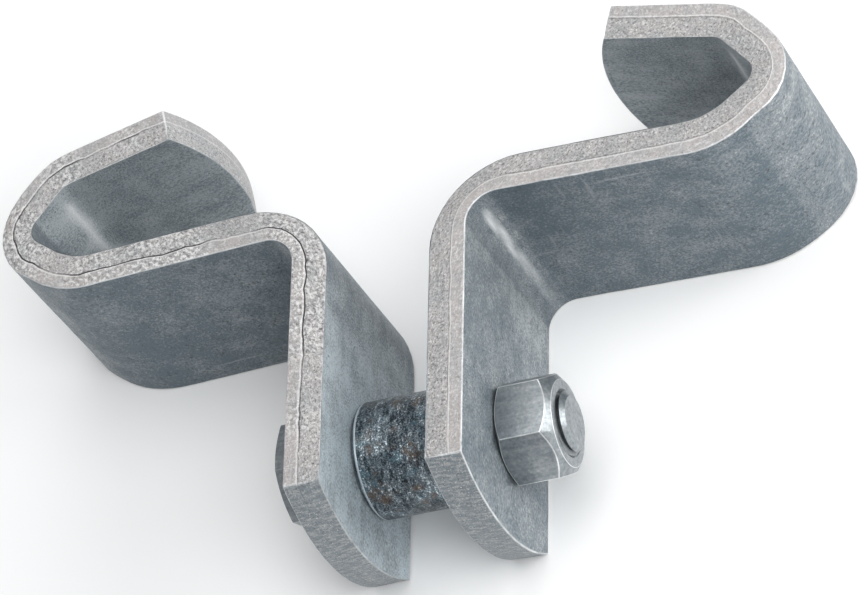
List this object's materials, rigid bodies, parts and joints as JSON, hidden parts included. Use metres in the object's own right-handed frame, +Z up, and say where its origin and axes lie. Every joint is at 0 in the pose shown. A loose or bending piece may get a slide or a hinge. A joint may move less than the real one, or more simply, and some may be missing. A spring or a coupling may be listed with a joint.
{
  "type": "double hook coupler",
  "caption": "Steel flat-bar hooks clamped back to back on a spacer sleeve by a hex bolt and nut, to hook over two edges and be drawn together.",
  "frame": {"origin": "middle of the bounding box, on the plane the lower plate edges lie on", "axes": "+X along the bolt from its head to its nut, +Y from the drilled leg ends to the hook lips, +Z up across the width of the plate"},
  "size_m": [0.2084, 0.125, 0.0535],
  "materials": {
    "hook_plate": "bare rolled plate, mottled blue-grey, with paler sheared edges",
    "fastener_zinc": "bright zinc plate with fine turning and wrench marks",
    "sleeve_steel": "dark drawn steel, turned, with blue and brown stains"
  },
  "bodies": {
    "right_hook": {"right_hook": "hook_plate"},
    "nut": {"hex_nut": "fastener_zinc"},
    "bolt": {"hex_bolt": "fastener_zinc"},
    "left_hook": {"left_hook": "hook_plate"},
    "sleeve": {"spacer_sleeve": "sleeve_steel"}
  },
  "joints": [
    {"name": "nut_turn", "type": "hinge", "parent": "right_hook", "child": "nut", "pos_m": [0.0302, -0.03491, 0.02375], "axis": [1, 0, 0], "range_deg": [0, 2520]},
    {"name": "bolt_travel", "type": "slide", "parent": "right_hook", "child": "bolt", "axis": [-1, 0, 0], "range_m": [0, 0.014]},
    {"name": "left_hook_swing", "type": "hinge", "parent": "bolt", "child": "left_hook", "pos_m": [-0.01815, -0.03491, 0.02375], "axis": [1, 0, 0], "continuous": true},
    {"name": "sleeve_spin", "type": "hinge", "parent": "bolt", "child": "sleeve", "pos_m": [0, -0.03491, 0.02375], "axis": [1, 0, 0], "continuous": true}
  ],
  "couplings": [
    {"joint": "nut_turn", "follows": "bolt_travel", "rad_per_m": 3141.6}
  ]
}
